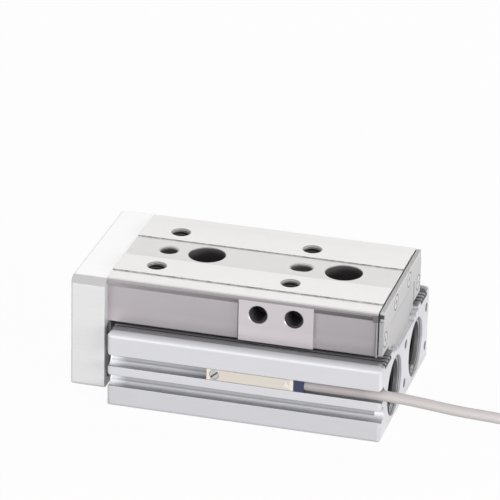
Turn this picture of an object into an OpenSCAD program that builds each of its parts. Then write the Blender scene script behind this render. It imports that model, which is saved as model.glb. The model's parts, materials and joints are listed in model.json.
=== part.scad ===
// Pneumatic slide table: a twin-rod air cylinder whose body carries a linear guide and a table.
// Millimetres. +X points to the head end, -X to the end plate, -Y to the sensor side, +Z up.
// The origin is under the middle of the whole unit, on the face that it is bolted down on.

/* [Cylinder] */
// Travel of the table
stroke = 30; // [10:1:50]
// Diameter of both bores
bore_d = 12; // [10:0.5:13]
// Distance between the two bores' axes
bore_pitch = 22.2; // [21:0.1:24]
// Height of the bores' axes above the base
bore_z = 8.8; // [8.4:0.1:9.4]
// Diameter of the piston rods
rod_d = 6; // [5:0.5:7]
// Length of one piston
piston_len = 15.3; // [15:0.1:20]
// Length of a rod cover
rod_cover_len = 9.7; // [9:0.1:14]
// Thickness of a rod cover's flange step over the bore, on the radius
cover_step = 1; // [0.8:0.1:1.2]
// Thickness of the rod-side bumper
rod_bumper_t = 1.2; // [0.8:0.1:2]
// Thickness of the head-side bumper
head_bumper_t = 1; // [0.8:0.1:2]
// Length of the head cap's spigot inside the bore
spigot_len = 4; // [3.5:0.1:6]
// Thickness of the head cap's flange
cap_flange_t = 1.8; // [1.4:0.1:3]
// Step of the head cap's flange over the bore, on the radius
cap_step = 1.35; // [1.2:0.05:1.5]
// Thickness of the retaining rings
ring_t = 1; // [0.8:0.1:1.2]
// How far the rod-side retaining ring lies inside the end face
rod_ring_inset = 0.8; // [0.5:0.1:1.5]
// How far the head-side retaining ring lies inside the end face
head_ring_inset = 0.7; // [0.5:0.1:1.5]

/* [Body] */
// Width of the body
body_w = 50; // [48:0.5:56]
// Height of the rims along both sides
rim_h = 19.4; // [19:0.1:19.8]
// Width of one rim
rim_w = 2.8; // [2.4:0.1:3.4]
// Radius of the rims' outer top edge
rim_r = 1.6; // [0.8:0.1:2]
// Height of the lands beside the guide
land_h = 18.8; // [18.4:0.1:18.9]
// Height of the seat under the table
seat_h = 18; // [17.8:0.1:18.3]
// Width of that seat
seat_w = 26; // [25:0.5:28]
// Height of the floor that the rail is bolted on
rail_floor = 17; // [16.6:0.1:17.3]
// Number of fine grooves in each land
land_grooves = 4; // [2:1:5]
// Distance between the fine grooves
land_groove_pitch = 1.73; // [1.5:0.01:1.8]
// Width of a fine groove
land_groove_w = 0.8; // [0.4:0.05:1]
// Depth of a fine groove
land_groove_d = 0.6; // [0.3:0.05:0.8]
// Radius of the body's upright edges
body_edge_r = 0.9; // [0.5:0.1:1.5]
// Radius of the body's top end corners
body_top_r = 1.5; // [0.8:0.1:2]
// Radius of the body's bottom edges
body_base_r = 0.8; // [0.4:0.1:1]

/* [Sensor grooves] */
// Radius of a sensor groove
groove_r = 2; // [1.8:0.05:2.1]
// Depth of a sensor groove's axis behind the side face
groove_in = 1.4; // [1.2:0.05:1.5]
// Height of a sensor groove's mouth
groove_mouth = 2.95; // [2.6:0.05:3]
// Height of the upper groove's axis
groove_z_hi = 11.9; // [11.7:0.1:12.4]
// Height of the lower groove's axis
groove_z_lo = 6.75; // [6.2:0.05:7]

/* [Mounting holes] */
// Distance from the body's rod end to its first mounting hole
mount_x0 = 17.3; // [16.5:0.1:18.4]
// Distance between the body's two mounting holes
mount_pitch = 33.8; // [33:0.1:34]
// Diameter of the body's mounting holes
mount_d = 5.3; // [5:0.1:5.5]
// Diameter of the access holes for the mounting screws' heads
access_d = 9.1; // [8.8:0.1:9.3]
// Diameter of the rail's holes for the same heads
rail_access_d = 9.6; // [9.5:0.1:10]
// Distance from the first mounting hole to the base's round pin hole
base_pin_x0 = 8.9; // [8:0.1:10]
// Distance from the base's round pin hole to its slot
base_pin_pitch = 16; // [14:0.5:17]
// Diameter of the locating pins
pin_d = 4; // [3:0.1:4]
// How much longer than wide the pin slots are
pin_slot_extra = 1; // [0.5:0.1:1.5]
// Depth of the base's pin holes
base_pin_depth = 2.6; // [2:0.1:3]
// Diameter of an M5 tapped hole's wall
m5_tap_d = 4.2; // [4.1:0.05:4.4]
// Depth of the ports' threads
port_depth = 5; // [4:0.1:5.4]
// Diameter of the air passages
passage_d = 1.4; // [1:0.1:1.5]
// Diameter of the small tapped holes in the head end
end_tap_d = 2.1; // [2:0.05:2.2]
// Depth of the small tapped holes in the head end
end_tap_depth = 5; // [4:0.1:5]
// Distance between the small tapped holes across the body
end_tap_pitch_y = 22; // [21:0.1:22]
// Height of the lower small tapped holes
end_tap_z = 4.2; // [3.8:0.1:4.6]
// Vertical distance between the small tapped holes
end_tap_pitch_z = 10.3; // [10:0.1:10.6]

/* [Guide rail] */
// Width of the rail
rail_w = 17; // [16:0.1:17.4]
// Height of the rail
rail_h = 7.7; // [7.4:0.1:7.8]
// Distance from the body's rod end to the rail
rail_inset_rod = 0.5; // [0.2:0.1:1.5]
// Distance from the body's head end to the rail
rail_inset_head = 1.4; // [1:0.1:3]
// Width of the stop flange on the rail's head end
stop_w = 25.4; // [24:0.1:25.6]
// Thickness of the stop flange
stop_t = 0.7; // [0.5:0.05:0.75]
// Distance between the rail's screws
rail_bolt_pitch = 25.2; // [25:0.1:25.4]
// Diameter of the balls
ball_d = 1.58; // [1.4:0.02:1.6]
// Height of the ball tracks above the rail's foot
track_h = 4.6; // [4.2:0.1:5]
// Number of balls in each loaded row
balls_per_row = 14; // [8:1:16]

/* [Table] */
// Width of the table
table_w = 40; // [39:0.1:41]
// Height of the table's top above the base
table_top = 31.3; // [31:0.1:32.5]
// Height of the table's underside above the base
table_bottom = 19.5; // [19.2:0.1:20]
// Gap between the rail's top and the table
rail_gap = 0.3; // [0.2:0.05:0.5]
// Outer width of the two ground pads
pad_outer_w = 30; // [29:0.1:31]
// Distance between the two ground pads
pad_inner_w = 11.6; // [10.6:0.1:12]
// Drop from the pads to the strips outside them
strip_drop = 0.35; // [0.2:0.05:0.5]
// Drop from the pads to the band between them
band_drop = 0.3; // [0.2:0.05:0.5]
// Chamfer of the table's long top edges
table_chamfer = 0.5; // [0.3:0.1:0.8]
// Depth of the recesses in the table's sides
side_recess = 0.95; // [0.6:0.05:1.1]
// Distance from the table's rod end to the tapped side block
block_x0 = 32.4; // [31:0.1:33]
// Length of the tapped side block
block_len = 18.2; // [16:0.1:19]
// Distance between the two tapped holes in the side block
block_tap_pitch = 8.7; // [8:0.1:10]
// Height of the side block's tapped holes
block_tap_z = 26.5; // [26:0.1:26.8]
// Distance from the table's rod end to its first row of tapped holes
tap_x0 = 9.5; // [9:0.1:10]
// Distance between the rows along the table
tap_pitch_x = 32.9; // [32:0.1:33.5]
// Distance between the rows across the table
tap_pitch_y = 20.7; // [20.4:0.1:22]
// Depth of the tapped holes in the table
tap_depth = 5.8; // [5:0.1:5.9]
// Chamfer round the mouths of the table's pin holes
pin_chamfer = 0.5; // [0.2:0.1:0.6]
// Depth of the table's pin holes
pin_depth = 4; // [3:0.1:4.5]

/* [Guide ends] */
// Thickness of an end cap
cap_t = 1; // [0.9:0.05:1.05]
// Thickness of a scraper
scraper_t = 0.3; // [0.3:0.05:0.5]
// Distance from the body's head end to the end cap's face
cap_inset = 1.3; // [1.25:0.05:1.4]
// Width of the end cap's opening, round the rail's stop flange
cap_opening_w = 25.9; // [25.8:0.1:26.4]
// Width of the inner end cap's opening for the rail
inner_opening_w = 19.2; // [18.6:0.1:19.6]
// Width of the small cap that is let into the table's rod end
small_cap_w = 26.8; // [26.4:0.1:27]
// Diameter of the cap screws' countersunk heads
cap_screw_head_d = 3.5; // [3:0.1:3.6]
// Height of the cap screws' countersunk heads
cap_screw_head_h = 0.8; // [0.6:0.05:0.85]

/* [End plate] */
// Thickness of the end plate
plate_t = 8.4; // [8:0.1:10]
// Gap between the end plate and the body
plate_gap = 1.7; // [0.8:0.1:1.8]
// Width of the end plate
plate_w = 42.9; // [42.5:0.1:47]
// Height of the end plate's lower edge
plate_bottom = 2.4; // [1.5:0.1:3]
// Height of the end plate's upper edge
plate_top = 30.8; // [30.5:0.1:31.3]
// Chamfer of the end plate's upper corners
plate_corner = 1.75; // [1:0.05:2]
// Chamfer round the end plate's outer face
plate_edge = 0.4; // [0.2:0.1:0.6]
// Diameter of the wall of the end plate's tapped holes
plate_tap_d = 3.3; // [3.2:0.05:3.5]
// Distance between the end plate's tapped holes, across
plate_tap_pitch_y = 36; // [35.5:0.1:37]
// Distance between the end plate's tapped holes, upwards
plate_tap_pitch_z = 11; // [10.6:0.1:11.4]
// Height of the end plate's lower tapped holes
plate_tap_z = 6; // [5:0.1:6.2]
// Distance between the two bolts that hold the table
plate_bolt_pitch = 32; // [31.6:0.1:32.4]
// Height of those bolts
plate_bolt_z = 24.6; // [24.2:0.1:24.8]

/* [Switch and lead] */
// Distance from the body's rod end to the switch
switch_x0 = 24.5; // [15:0.1:28]
// Length of the switch's housing
switch_len = 21.2; // [18:0.1:24]
// Length of the boot at the switch's lead end
boot_len = 2.5; // [2:0.1:3]
// Height of the switch's front face
switch_h = 2.7; // [2.4:0.05:2.8]
// Diameter of the lead
lead_d = 2.6; // [2.2:0.1:2.8]
// Radius of the outermost turn of the coiled lead, at its centre line
coil_r = 17.2; // [16:0.1:19]
// Thickness of the tie round the coil
tie_t = 0.4; // [0.3:0.05:0.6]

/* [Hidden] */
$fn = 48;
eps = 0.01;
// Clearances that mating pieces share
slip = 0.05;      // on the radius between two fixed pieces that slide together
run = 0.06;       // on the radius between a moving piece and its bore
stop_gap = 0.2;   // left between a piston and its bumper at the end of the stroke
ball_gap = 0.07;  // between a ball and its track
side_gap = 0.4;   // between the rail's flank and the table's leg

// Body: the row of pieces inside it, from the rod end to the head end, gives its length
body_len = rod_ring_inset + ring_t + rod_cover_len + rod_bumper_t + stop_gap + stroke + piston_len
    + stop_gap + head_bumper_t + spigot_len + cap_flange_t + ring_t + head_ring_inset;
total_len = plate_t + plate_gap + body_len;
plate_x = -total_len / 2;
table_x = plate_x + plate_t;
body_x = table_x + plate_gap;
head_x = total_len / 2;
bore_r = bore_d / 2;
rod_r = rod_d / 2;
cover_r = bore_r + cover_step;
cap_r = bore_r + cap_step;
rod_ring_x = body_x + rod_ring_inset;
cover_x = rod_ring_x + ring_t;
rod_bumper_x = cover_x + rod_cover_len;
piston_x = rod_bumper_x + rod_bumper_t + stop_gap + stroke;
head_bumper_x = piston_x + piston_len + stop_gap;
spigot_x = head_bumper_x + head_bumper_t;
flange_x = spigot_x + spigot_len;
head_ring_x = flange_x + cap_flange_t;
ring_bite = 0.4;   // how far a retaining ring reaches into its groove
ring_width = 1.45; // width of the retaining rings' band
ring_play = 0.1;   // how much wider than the ring its groove is
land_groove_edge = 0.8; // from a rim to the middle of the nearest fine groove

// Piston, counted from its rod side
nose_len = 1.5;
nose_r = bore_r - 1;
seal_w = 1.6;
seal_depth = 1.7;
magnet_w = 3.6;
magnet_depth = 1.9;
wear_w = 1.5;
wear_depth = 0.8;
shoulder = 0.7;    // from a nose to the nearest seal
// The length that is left for the lands on both sides of the magnet and the wear ring
lands_len = piston_len - 2 * (nose_len + shoulder + seal_w) - magnet_w - wear_w;
wide_land = lands_len * 11 / 26;
narrow_land = lands_len - 2 * wide_land;
front_seal_x = nose_len + shoulder;
magnet_x = front_seal_x + seal_w + wide_land;
wear_x = magnet_x + magnet_w + wide_land;
rear_seal_x = wear_x + wear_w + narrow_land;
piston_r = bore_r - 0.2;
neck_r = rod_r - 1;
rivet_r = rod_r + 0.4;
rivet_h = 1.2;

// Rod cover, counted from its outer face
rod_seal_x = 1.2;
rod_seal_w = 2.2;
rod_seal_depth = 1.7;
bush_len = 4.8;
bush_wall = 0.9;
cover_oring_x = 6.8;
oring_w = 1.5;
oring_depth = 1.1;
oring_r = oring_depth / 2 - 0.03;
cap_oring_x = 1.4;

// Ports on the +Y side, each over the ring of free space beside a piston at the end of its stroke
rod_port_x = rod_bumper_x + rod_bumper_t + 0.8;
head_port_x = head_bumper_x - 0.7;

// Mounting holes, shared by the body, the rail and the table
mount_xs = [body_x + mount_x0, body_x + mount_x0 + mount_pitch];
rail_x = body_x + rail_inset_rod;
rail_len = body_len - rail_inset_rod - rail_inset_head;
rail_bolt_xs = [for (i = [-1:1]) body_x + mount_x0 + mount_pitch / 2 + i * rail_bolt_pitch];
rail_screw_r = 1.25;
rail_head_r = 2.25;
rail_head_h = 2.5;
rail_head_depth = 2.9;
rail_screw_len = 10;
track_z = rail_floor + track_h;
track_r = ball_d / 2 + ball_gap;
track_y = rail_w / 2 + side_gap / 2;

// Table
cap_x = head_x - cap_inset - cap_t;
scraper_x = cap_x - scraper_t;
table_len = scraper_x - table_x;
opening_w = rail_w + 2 * side_gap;
opening_top = rail_floor + rail_h + rail_gap;
small_pocket = cap_t + scraper_t + 0.05;
cap_clear = 0.3;       // between the rail's top and a cap, beyond the table's own gap
cap_low = 0.4;         // from the table's underside up to a cap's
scraper_low = 0.5;     // and up to a scraper's
scraper_in = 0.8;      // how far a scraper's edge lies inside the table's side
small_cap_top = 28;
return_y = track_y + 3.6;
lip_h = 0.5;
lip_slope = 1.4;
recess_top = table_top - strip_drop - table_chamfer - lip_h - lip_slope;
tap_xs = [table_x + tap_x0, table_x + tap_x0 + tap_pitch_x];
block_x = table_x + block_x0;
block_tap_xs = [for (s = [-0.5, 0.5]) block_x + block_len / 2 + s * block_tap_pitch];
recess_end_inset = 1.25;
countersink = 0.3;
m5_r = m5_tap_d / 2;
cap_screws = [[-17, 23.2], [-6.8, 28.3], [6.8, 28.3], [17, 23.2]];
inner_cap_screws = [[-11.4, 26.2], [11.4, 26.2]];
cap_screw_r = 0.95;
cap_screw_len = 4.5;

// End plate
bolt_r = 2;
bolt_head_r = 3.5;
bolt_head_h = 4;
plate_seat = 4.4;      // depth of the counterbores in the end plate
bolt_len = 12;
bush_shaft_r = rod_r + 0.2;
bush_flange_r = 4.4;
bush_flange_t = 0.8;
rod_bolt_r = 1.5;
rod_bolt_head_r = 2.75;
rod_bolt_head_h = 3;
rod_bolt_len = 9;
rod_end_x = table_x + 0.05;

// Switch and lead
groove_y = -body_w / 2 + groove_in;
switch_x = body_x + switch_x0;
boot_x = switch_x + switch_len;
lead_x = boot_x + boot_len;
switch_proud = 0.05;
switch_screw_x = 1.9;
switch_screw_r = 1.15;
switch_slot_turn = 40; // how far the screw's slot is turned from level
lead_r = lead_d / 2;
coil_bottom = tie_t;
coil_turns_out = 3;
turn_pitch = lead_d + 0.06;
layer_rise = lead_d * sqrt(3) / 2;
coil_inner = coil_r - (coil_turns_out - 1) * turn_pitch - lead_r;
coil_height = lead_d + layer_rise;
coil_centre = [85, 0.6];
tie_angle = 60;
tie_w = 2.4;

// The lead's free stretch from the body's head end down to the coil, chosen by hand
lead_route = [
    [20, -23.6, 11.9], [24, -23.6, 11.9], [28, -23.6, 11.9], [33, -23.6, 11.9],
    [38, -23.6, 11.9], [41, -23.6, 11.8], [45, -23.4, 11.5], [49, -23.1, 11], [53, -22.7, 10.4],
    [57, -22.2, 9.8], [61, -21.5, 9.3], [65, -20.6, 8.7], [69, -19.5, 7.8], [72.5, -18.4, 6.5],
    [75.5, -17.6, 5], [78.5, -17, 3.5], [81.5, -16.7, 2.3], [85, -16.6, 1.7]
];
lead_end = [[85, 16.47, 3.95], [82.5, 16.67, 4.15], [80, 18.1, 4.3], [77.5, 19.3, 3.7], [75, 20.9, 2.4],
    [72.5, 22.6, 1.45], [70, 24.2, 1.3], [67.5, 25.6, 1.3]];

// ---- Helpers ----

// Extrudes a shape drawn in Y and Z from x over a length
module along_x(x, length) {
    translate([x, 0, 0]) rotate([90, 0, 90]) linear_extrude(length) children();
}

// Extrudes a shape drawn in X and Z over the width of the body, both ways from the middle
module across_y(width) {
    translate([0, width / 2, 0]) rotate([90, 0, 0]) linear_extrude(width) children();
}

module rod_along_x(x, y, z, r, length) {
    translate([x, y, z]) rotate([0, 90, 0]) cylinder(r = r, h = length);
}

// A ring or disc on a bore's axis, from x over a length
module ring_x(x, y, z, outer, inner, length) {
    translate([x, y, z]) rotate([0, 90, 0]) difference() {
        cylinder(r = outer, h = length);
        translate([0, 0, -eps]) cylinder(r = inner, h = length + 2 * eps);
    }
}

// A rounded rectangle with its own radius at the two lower and the two upper corners
module rounded_box_2d(width, bottom, top, r_low, r_high) {
    translate([-width / 2, bottom + r_low]) square([width, top - bottom - r_low - r_high]);
    translate([-width / 2 + r_low, bottom]) square([width - 2 * r_low, r_low + eps]);
    translate([-width / 2 + r_high, top - r_high - eps]) square([width - 2 * r_high, r_high + eps]);
    for (s = [-1, 1]) {
        translate([s * (width / 2 - r_low), bottom + r_low]) circle(r = r_low);
        translate([s * (width / 2 - r_high), top - r_high]) circle(r = r_high);
    }
}

// Repeats a piece at both bores
module both_bores() {
    for (s = [-1, 1]) translate([0, s * bore_pitch / 2, bore_z]) children();
}

// A blind hole from a point along +Z or -Z with a countersunk mouth
module tapped_hole(r, depth, sink) {
    translate([0, 0, -depth]) cylinder(r = r, h = depth + 1);
    translate([0, 0, -sink]) cylinder(r1 = r, r2 = r + sink, h = sink);
    cylinder(r = r + sink, h = 1);
}

// A hole for a pin, or a slot that is longer than wide by extra along X, with its floor at z = 0
module pin_slot(depth, extra) {
    for (s = [-0.5, 0.5]) translate([s * extra, 0, 0]) cylinder(r = pin_d / 2, h = depth);
    if (extra > 0) translate([-extra / 2, -pin_d / 2, 0]) cube([extra, pin_d, depth]);
}

// The chamfer at the mouth of such a hole or slot, with its mouth at z = 0
module pin_mouth(extra) {
    wide = pin_d / 2 + pin_chamfer + eps;
    for (s = [-0.5, 0.5]) translate([s * extra, 0, -pin_chamfer])
        cylinder(r1 = pin_d / 2, r2 = wide, h = pin_chamfer + eps);
    if (extra > 0) translate([-extra / 2, 0, -pin_chamfer]) rotate([90, 0, 90]) linear_extrude(extra)
        polygon([[-pin_d / 2, 0], [pin_d / 2, 0], [wide, pin_chamfer + eps], [-wide, pin_chamfer + eps]]);
}

// A socket head cap screw along +X: its head's outer face is at x = 0
module cap_screw_x(r, head_r, head_h, length, key) {
    rotate([0, 90, 0]) difference() {
        union() {
            cylinder(r = head_r, h = head_h);
            translate([0, 0, head_h - eps]) cylinder(r = r, h = length + eps);
        }
        translate([0, 0, -eps]) cylinder(r = key / sqrt(3), h = head_h * 0.6, $fn = 6);
    }
}

// A countersunk screw with a crosswise recess, along -X: its head's outer face is at x = 0
module cross_screw(r, length) {
    head = cap_screw_head_h;
    rotate([0, 90, 0]) difference() {
        union() {
            translate([0, 0, -head]) cylinder(r1 = r, r2 = cap_screw_head_d / 2 - slip, h = head);
            translate([0, 0, -length]) cylinder(r = r, h = length - head + eps);
        }
        for (turn = [0, 90]) rotate(turn) translate([-r, -r / 4, -0.5]) cube([2 * r, r / 2, 1]);
    }
}

// The hole for such a screw in a cap, its outer face at x = 0
module cross_screw_hole(r) {
    rotate([0, 90, 0]) {
        translate([0, 0, -cap_t - 1]) cylinder(r = r + slip, h = cap_t + 2);
        translate([0, 0, -cap_screw_head_h])
            cylinder(r1 = r + slip, r2 = cap_screw_head_d / 2, h = cap_screw_head_h);
        translate([0, 0, -eps]) cylinder(r = cap_screw_head_d / 2, h = 1);
    }
}

// ---- Body ----

module sensor_groove_2d(z) {
    translate([groove_y, z]) circle(r = groove_r);
    translate([-body_w / 2 - 1, z - groove_mouth / 2]) square([groove_in + 1, groove_mouth]);
}

module body_section() {
    rim_in = body_w / 2 - rim_w;
    difference() {
        rounded_box_2d(body_w, 0, rim_h, body_base_r, rim_r);
        translate([-rim_in, land_h]) square([2 * rim_in, rim_h]);
        translate([-seat_w / 2, seat_h]) square([seat_w, rim_h]);
        translate([-rail_w / 2 - slip, rail_floor]) square([rail_w + 2 * slip, rim_h]);
        for (s = [-1, 1], i = [0:land_grooves - 1])
            translate([s * (rim_in - land_groove_edge - i * land_groove_pitch) - land_groove_w / 2,
                land_h - land_groove_d]) square([land_groove_w, rim_h]);
        // reliefs beside the rail
        for (s = [-1, 1])
            translate([s * (rail_w / 2 + 1.4), seat_h]) circle(r = seat_h - rail_floor - 0.2);
        sensor_groove_2d(groove_z_hi);
        sensor_groove_2d(groove_z_lo);
    }
}

module body_outline() {
    intersection() {
        along_x(body_x, body_len) body_section();
        translate([(body_x + head_x) / 2, 0, 0]) across_y(body_w + 2)
            rounded_box_2d(body_len, 0, rim_h, body_base_r, body_top_r);
        translate([(body_x + head_x) / 2, -body_w / 2, -1]) linear_extrude(rim_h + 2)
            rounded_box_2d(body_len, 0, body_w, body_edge_r, body_edge_r);
    }
}

// What is bored out for one cylinder, on the bore's axis
module cylinder_bore() {
    translate([body_x - 1, 0, 0]) rotate([0, 90, 0]) cylinder(r = bore_r, h = body_len + 2);
    translate([body_x - 1, 0, 0]) rotate([0, 90, 0]) cylinder(r = cover_r, h = rod_bumper_x - body_x + 1);
    translate([flange_x, 0, 0]) rotate([0, 90, 0]) cylinder(r = cap_r, h = head_x - flange_x + 1);
    translate([rod_ring_x - ring_play, 0, 0]) rotate([0, 90, 0])
        cylinder(r = cover_r + ring_bite, h = ring_t + ring_play);
    translate([head_ring_x, 0, 0]) rotate([0, 90, 0]) cylinder(r = cap_r + ring_bite, h = ring_t + ring_play);
}

module air_port(x) {
    translate([x, body_w / 2, bore_z]) rotate([-90, 0, 0]) {
        tapped_hole(m5_r, port_depth, countersink);
        // the passage crosses both bores
        reach = (body_w + bore_pitch) / 2;
        translate([0, 0, -reach]) cylinder(r = passage_d / 2, h = reach);
    }
}

module body_housing() {
    color([0.84, 0.84, 0.86]) difference() {
        body_outline();
        both_bores() cylinder_bore();
        air_port(rod_port_x);
        air_port(head_port_x);
        for (x = mount_xs) translate([x, 0, -1]) cylinder(r = mount_d / 2, h = rail_floor + 2);
        for (i = [0, 1]) translate([mount_xs[0] + base_pin_x0 + i * base_pin_pitch, 0, -1])
            pin_slot(base_pin_depth + 1, i * pin_slot_extra);
        for (x = rail_bolt_xs) translate([x, 0, rail_floor + 1])
            tapped_hole(rail_screw_r, rail_screw_len - rail_h + rail_head_depth + 2, 0);
        for (y = [0, end_tap_pitch_y], z = [end_tap_z, end_tap_z + end_tap_pitch_z])
            translate([head_x, y, z]) rotate([0, 90, 0])
                tapped_hole(end_tap_d / 2, end_tap_depth, countersink / 2);
    }
}

// ---- Guide rail ----

module rail() {
    color([0.72, 0.71, 0.70]) difference() {
        union() {
            along_x(rail_x, rail_len) difference() {
                translate([-rail_w / 2, rail_floor]) square([rail_w, rail_h]);
                for (s = [-1, 1]) translate([s * track_y, track_z]) circle(r = track_r);
                for (s = [-1, 1]) translate([s * rail_w / 2, rail_floor + rail_h]) rotate(45)
                    square(0.8, center = true);
            }
            // the stop flange, which fills the end cap's opening when the table is home
            along_x(rail_x + rail_len - stop_t, stop_t) translate([-stop_w / 2, seat_h + slip])
                square([stop_w, opening_top - seat_h - slip]);
        }
        for (x = mount_xs) translate([x, 0, rail_floor - 1]) cylinder(r = rail_access_d / 2, h = rail_h + 2);
        for (x = rail_bolt_xs) translate([x, 0, rail_floor]) {
            translate([0, 0, -1]) cylinder(r = rail_screw_r + slip, h = rail_h + 2);
            translate([0, 0, rail_h - rail_head_depth])
                cylinder(r = rail_head_r + slip, h = rail_head_depth + 1);
        }
    }
}

module rail_screws() {
    seat = rail_floor + rail_h - rail_head_depth;
    color([0.2, 0.2, 0.22]) for (x = rail_bolt_xs) translate([x, 0, seat + rail_head_h]) rotate([0, 90, 0])
        cap_screw_x(rail_screw_r - slip, rail_head_r, rail_head_h, rail_screw_len, 2);
}

// ---- Head end ----

module head_caps() {
    color([0.16, 0.16, 0.18]) both_bores() difference() {
        union() {
            rod_along_x(flange_x, 0, 0, cap_r - slip, cap_flange_t);
            rod_along_x(spigot_x, 0, 0, bore_r - slip, spigot_len + eps);
        }
        ring_x(spigot_x + cap_oring_x, 0, 0, bore_r + 1, bore_r - oring_depth, oring_w);
        // a shallow dish in the outer face
        rod_along_x(head_ring_x - 0.5, 0, 0, cap_r * 0.52, 1);
    }
}

// An O-ring in a groove under the wall of a bore of radius r, its middle at x
module oring(x, r) {
    translate([x, 0, 0]) rotate([0, 90, 0]) rotate_extrude()
        translate([r - oring_depth / 2, 0]) circle(r = oring_r);
}

module head_cap_orings() {
    color([0.05, 0.05, 0.05]) both_bores()
        oring(spigot_x + cap_oring_x + oring_w / 2, bore_r);
}

module head_bumpers() {
    color([0.35, 0.45, 0.3]) both_bores() rod_along_x(head_bumper_x, 0, 0, bore_r - 0.6, head_bumper_t);
}

// An internal retaining ring: an open band with two drilled lugs, its gap turned by turn
module retaining_ring(x, outer, turn) {
    gap = 50;
    middle = outer - ring_width;
    translate([x, 0, 0]) rotate([turn, 0, 0]) rotate([90, 0, 90]) linear_extrude(ring_t) difference() {
        union() {
            difference() {
                circle(r = outer);
                circle(r = middle);
                polygon([[0, 0], for (s = [-1, 1]) 2 * outer * [sin(s * gap / 2), -cos(s * gap / 2)]]);
            }
            for (s = [-1, 1]) rotate(s * (gap / 2 + 8)) translate([0, -middle + 0.2]) circle(r = 1.15);
        }
        for (s = [-1, 1]) rotate(s * (gap / 2 + 8)) translate([0, -middle + 0.2]) circle(r = 0.5);
    }
}

module head_retaining_rings() {
    color([0.45, 0.45, 0.46]) both_bores() retaining_ring(head_ring_x + eps, cap_r + ring_bite - slip, -35);
}

// ---- Rod end ----

module rod_covers() {
    color([0.75, 0.75, 0.76]) both_bores() difference() {
        rod_along_x(cover_x, 0, 0, cover_r - slip, rod_cover_len);
        rod_along_x(cover_x - 1, 0, 0, rod_r + 0.15, rod_cover_len + 2);
        ring_x(cover_x + rod_seal_x, 0, 0, rod_r + rod_seal_depth, rod_r, rod_seal_w);
        rod_along_x(cover_x + rod_cover_len - bush_len, 0, 0, rod_r + run + bush_wall, bush_len + 1);
        ring_x(cover_x + cover_oring_x, 0, 0, cover_r + 1, cover_r - oring_depth, oring_w);
    }
}

module rod_cover_orings() {
    color([0.05, 0.05, 0.05]) both_bores()
        oring(cover_x + cover_oring_x + oring_w / 2, cover_r);
}

module rod_bushes() {
    color([0.62, 0.5, 0.3]) both_bores()
        ring_x(cover_x + rod_cover_len - bush_len, 0, 0, rod_r + run + bush_wall - eps, rod_r + run,
            bush_len);
}

module rod_seals() {
    color([0.08, 0.08, 0.08]) both_bores()
        ring_x(cover_x + rod_seal_x + slip, 0, 0, rod_r + rod_seal_depth - slip, rod_r + run / 2,
            rod_seal_w - 2 * slip);
}

module rod_bumpers() {
    color([0.35, 0.45, 0.3]) both_bores()
        ring_x(rod_bumper_x, 0, 0, bore_r - slip, rod_r + 0.3, rod_bumper_t);
}

module rod_retaining_rings() {
    color([0.45, 0.45, 0.46]) both_bores() retaining_ring(rod_ring_x, cover_r + ring_bite - slip, 0);
}

// ---- Pistons and rods ----

module pistons() {
    color([0.7, 0.7, 0.72]) both_bores() difference() {
        union() {
            rod_along_x(piston_x, 0, 0, nose_r, piston_len);
            rod_along_x(piston_x + nose_len, 0, 0, piston_r, piston_len - 2 * nose_len);
        }
        for (x = [front_seal_x, rear_seal_x])
            ring_x(piston_x + x, 0, 0, bore_r + 1, bore_r - seal_depth, seal_w);
        ring_x(piston_x + magnet_x, 0, 0, bore_r + 1, bore_r - magnet_depth, magnet_w);
        ring_x(piston_x + wear_x, 0, 0, bore_r + 1, bore_r - wear_depth, wear_w);
        rod_along_x(piston_x - 1, 0, 0, neck_r + slip, piston_len + 2);
        rod_along_x(piston_x + piston_len - rivet_h - 0.4, 0, 0, rivet_r + slip, rivet_h + 2);
    }
}

module piston_rods() {
    color([0.82, 0.82, 0.83]) both_bores() difference() {
        union() {
            rod_along_x(rod_end_x, 0, 0, rod_r, piston_x - rod_end_x);
            rod_along_x(piston_x - eps, 0, 0, neck_r, piston_len - 0.4 + eps);
            rod_along_x(piston_x + piston_len - rivet_h - 0.4, 0, 0, rivet_r, rivet_h);
        }
        rod_along_x(rod_end_x - 1, 0, 0, rod_bolt_r, rod_bolt_len + 1);
    }
}

module piston_seals() {
    color([0.08, 0.08, 0.08]) both_bores() for (x = [front_seal_x, rear_seal_x])
        ring_x(piston_x + x + slip, 0, 0, bore_r - 0.03, bore_r - seal_depth + slip, seal_w - 2 * slip);
}

module piston_magnets() {
    color([0.25, 0.25, 0.27]) both_bores()
        ring_x(piston_x + magnet_x + slip, 0, 0, piston_r - 0.1, bore_r - magnet_depth + slip,
            magnet_w - 2 * slip);
}

module wear_rings() {
    color([0.85, 0.8, 0.65]) both_bores()
        ring_x(piston_x + wear_x + slip, 0, 0, bore_r - run, bore_r - wear_depth + slip, wear_w - 2 * slip);
}

// ---- Table ----

// Half of the table's top, from the middle out, as points in Y and Z
function table_half(s) = [
    [s * pad_inner_w / 2, table_top - band_drop], [s * pad_inner_w / 2, table_top],
    [s * pad_outer_w / 2, table_top], [s * pad_outer_w / 2, table_top - strip_drop],
    [s * (table_w / 2 - table_chamfer), table_top - strip_drop],
    [s * table_w / 2, table_top - strip_drop - table_chamfer], [s * table_w / 2, table_bottom]
];

module table_section() {
    right = table_half(1);
    left = table_half(-1);
    difference() {
        polygon([each right, each [for (i = [len(left) - 1:-1:0]) left[i]]]);
        translate([-opening_w / 2, table_bottom - 1]) square([opening_w, opening_top - table_bottom + 1]);
        for (s = [-1, 1]) {
            translate([s * track_y, track_z]) circle(r = track_r);
            translate([s * return_y, track_z]) circle(r = track_r);
        }
    }
}

// The hollow in the table's side, drawn in Y and Z for the side where s points
module recess_section(s) {
    deep = s * (table_w / 2 - side_recess);
    out = s * (table_w / 2 + 1);
    polygon([
        [deep, table_bottom - 1], [deep, recess_top], [deep + s * side_recess, recess_top + lip_slope],
        [out, recess_top + lip_slope], [out, table_bottom - 1]
    ]);
}

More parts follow.
